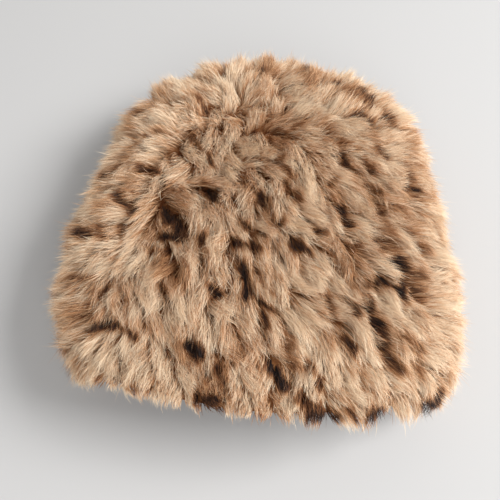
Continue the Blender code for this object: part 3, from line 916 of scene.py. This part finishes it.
def pile_material(look):
    """The pile: dark brown, mottled and rough."""
    material, tree, shader = new_material("fur_pile")
    place = tree.nodes.new("ShaderNodeTexCoord")
    noise = tree.nodes.new("ShaderNodeTexNoise")
    noise.inputs["Scale"].default_value = 160
    noise.inputs["Detail"].default_value = 4
    tree.links.new(place.outputs["Object"], noise.inputs["Vector"])
    ramp = tone_ramp(tree, look, (0.42, 0.34, 0.28))
    tree.links.new(noise.outputs["Fac"], ramp.inputs["Fac"])
    tree.links.new(ramp.outputs["Color"], shader.inputs["Base Color"])
    bump = tree.nodes.new("ShaderNodeBump")
    bump.inputs["Strength"].default_value = 0.6
    bump.inputs["Distance"].default_value = 0.001
    tree.links.new(noise.outputs["Fac"], bump.inputs["Height"])
    tree.links.new(bump.outputs["Normal"], shader.inputs["Normal"])
    shader.inputs["Roughness"].default_value = 0.9
    shader.inputs["Specular IOR Level"].default_value = 0.15
    return material


def knit_material(look):
    """Stretch knit: rows of stitches across the ribs, with painted shade in the grooves between them, where
    the knit's colour is darkened to 0.45 as the bump sinks.
    """
    material, tree, shader = new_material("knit")
    place = tree.nodes.new("ShaderNodeTexCoord")
    stitch = tree.nodes.new("ShaderNodeTexWave")
    stitch.bands_direction = "Y"
    stitch.inputs["Scale"].default_value = 110
    stitch.inputs["Distortion"].default_value = 1.2
    stitch.inputs["Detail"].default_value = 2
    tree.links.new(place.outputs["Object"], stitch.inputs["Vector"])
    # Painted shade: a darker copy of the knit's colour goes where the wave is low, in the same grooves that
    # the bump sinks.
    shade = tree.nodes.new("ShaderNodeMix")
    shade.data_type = "RGBA"
    shade.inputs["A"].default_value = (*(channel * 0.45 for channel in look.knit), 1)
    shade.inputs["B"].default_value = (*look.knit, 1)
    tree.links.new(stitch.outputs["Fac"], shade.inputs["Factor"])
    tree.links.new(shade.outputs["Result"], shader.inputs["Base Color"])
    bump = tree.nodes.new("ShaderNodeBump")
    bump.inputs["Strength"].default_value = 0.7
    bump.inputs["Distance"].default_value = 0.0006
    tree.links.new(stitch.outputs["Fac"], bump.inputs["Height"])
    tree.links.new(bump.outputs["Normal"], shader.inputs["Normal"])
    shader.inputs["Roughness"].default_value = 0.92
    return material


class FURHAT_OT_build_knit(bpy.types.Operator):
    """Builds the knitted base"""

    bl_idname = "furhat.build_knit"
    bl_label = "Build the knit"

    def execute(self, context):
        """Makes the base's ribbed skins."""
        surface = HatSurface(context.scene.fur_hat_sizes)
        mesh = knit_mesh(surface, "knit_shell")
        link_piece("knit_shell", mesh, knit_material(context.scene.fur_hat_look), "knitted_base")
        return {"FINISHED"}


class FURHAT_OT_build_pile(bpy.types.Operator):
    """Builds the dense pile of every row"""

    bl_idname = "furhat.build_pile"
    bl_label = "Build the pile"

    def execute(self, context):
        """Makes one closed mesh for each row."""
        look = context.scene.fur_hat_look
        surface = HatSurface(context.scene.fur_hat_sizes)
        material = pile_material(look)
        for row in range(ROWS):
            name = f"pile_{row + 1}"
            link_piece(name, pile_mesh(surface, row, look, name), material, row_node(row))
        return {"FINISHED"}


class FURHAT_OT_build_hair(bpy.types.Operator):
    """Grows the guard hair and the down of every row"""

    bl_idname = "furhat.build_hair"
    bl_label = "Grow the hair"

    def execute(self, context):
        """Shares the hairs out by each row's area and grows them."""
        look = context.scene.fur_hat_look
        surface = HatSurface(context.scene.fur_hat_sizes)
        material = hair_material(look)
        areas = np.array([scatter(surface, row, 1, np.random.default_rng(row))[2] for row in range(ROWS)])
        shares = areas / areas.sum()
        kinds = (
            HairKind("guard", (0.0, 0.36, 0.70, 1.0), 1.0, 0.0, 0.12, look.guard_width,
                     (shares * look.guard_hairs).astype(int)),
            HairKind("down", (0.0, 0.55, 1.0), 0.72, 0.30, 0.35, look.down_width,
                     (shares * look.down_hairs).astype(int)),
        )
        for row in range(ROWS):
            random = np.random.default_rng(100 + row)
            locks = make_locks(surface, row, look, random)
            for kind in kinds:
                levels, normals, tone = grow_hairs(surface, row, locks, look, kind, random)
                name = f"{kind.name}_{row + 1}"
                mesh = ribbon_mesh(name, levels, normals, tone, kind, random)
                link_piece(name, mesh, material, row_node(row))
        return {"FINISHED"}


class FURHAT_OT_build_stage(bpy.types.Operator):
    """Builds the floor, the lights and the camera"""

    bl_idname = "furhat.build_stage"
    bl_label = "Build the stage"

    def execute(self, context):
        """Lays the floor, hangs the lights and sets the camera."""
        scene = context.scene
        look = scene.fur_hat_stage
        scene.view_settings.view_transform = "Standard"
        mesh = bpy.data.meshes.new("floor")
        mesh.from_pydata([(-3, -3, 0), (3, -3, 0), (3, 3, 0), (-3, 3, 0)], [], [(0, 1, 2, 3)])
        material, _, shader = new_material("floor")
        shader.inputs["Base Color"].default_value = (*look.floor, 1)
        shader.inputs["Roughness"].default_value = 0.9
        shader.inputs["Specular IOR Level"].default_value = 0.1
        mesh.materials.append(material)
        floor = bpy.data.objects.new("floor", mesh)
        scene.collection.objects.link(floor)
        self.hang_light(scene, "key", (1.60, 0.14, 1.50), 1.00, look.key_power)
        self.hang_light(scene, "front", (0.30, -1.60, 1.80), 1.80, look.front_power)
        world = bpy.data.worlds.new("room")
        world.use_nodes = True
        world.node_tree.nodes["Background"].inputs["Color"].default_value = (1, 1, 1, 1)
        world.node_tree.nodes["Background"].inputs["Strength"].default_value = look.fill
        scene.world = world
        self.set_camera(scene, look)
        return {"FINISHED"}

    def hang_light(self, scene, name, place, size, power):
        """A square soft light that faces the hat."""
        lamp = bpy.data.lights.new(name, "AREA")
        lamp.size = size
        lamp.energy = power
        obj = bpy.data.objects.new(name, lamp)
        obj.location = place
        obj.rotation_euler = (Vector((0, 0, 0.04)) - Vector(place)).to_track_quat("-Z", "Y").to_euler()
        scene.collection.objects.link(obj)

    def set_camera(self, scene, look):
        """The camera, above the floor at the photograph's angle."""
        rise, turn = math.radians(look.elevation), math.radians(look.turn)
        flat = math.cos(rise)
        toward = Vector((-math.sin(turn) * flat, math.cos(turn) * flat, -math.sin(rise)))
        camera = bpy.data.cameras.new("camera")
        camera.lens = look.lens
        camera.sensor_width = 36
        camera.clip_start = 0.01
        obj = bpy.data.objects.new("camera", camera)
        obj.location = Vector((-0.007, -0.020, 0.045)) - toward * look.distance
        obj.rotation_euler = toward.to_track_quat("-Z", "Y").to_euler()
        scene.collection.objects.link(obj)
        scene.camera = obj


class FURHAT_PT_panel(bpy.types.Panel):
    """The buttons that build the hat"""

    bl_idname = "FURHAT_PT_panel"
    bl_label = "Rabbit fur hat"
    bl_space_type = "VIEW_3D"
    bl_region_type = "UI"
    bl_category = "Fur hat"

    def draw(self, context):
        """Lists the operators."""
        for operator in OPERATORS:
            self.layout.operator(operator.bl_idname)


OPERATORS = (FURHAT_OT_build_knit, FURHAT_OT_build_pile, FURHAT_OT_build_hair, FURHAT_OT_build_stage)
CLASSES = (HatSizes, FurLook, StageLook, *OPERATORS, FURHAT_PT_panel)


def register():
    """Registers the add-on."""
    for item in CLASSES:
        bpy.utils.register_class(item)
    bpy.types.Scene.fur_hat_sizes = bpy.props.PointerProperty(type=HatSizes)
    bpy.types.Scene.fur_hat_look = bpy.props.PointerProperty(type=FurLook)
    bpy.types.Scene.fur_hat_stage = bpy.props.PointerProperty(type=StageLook)


def unregister():
    """Takes the add-on out again."""
    del bpy.types.Scene.fur_hat_sizes
    del bpy.types.Scene.fur_hat_look
    del bpy.types.Scene.fur_hat_stage
    for item in reversed(CLASSES):
        bpy.utils.unregister_class(item)


def main():
    """Builds the hat and its stage."""
    register()
    bpy.ops.furhat.build_knit()
    bpy.ops.furhat.build_pile()
    bpy.ops.furhat.build_hair()
    bpy.ops.furhat.build_stage()


if __name__ == "__main__":
    main()
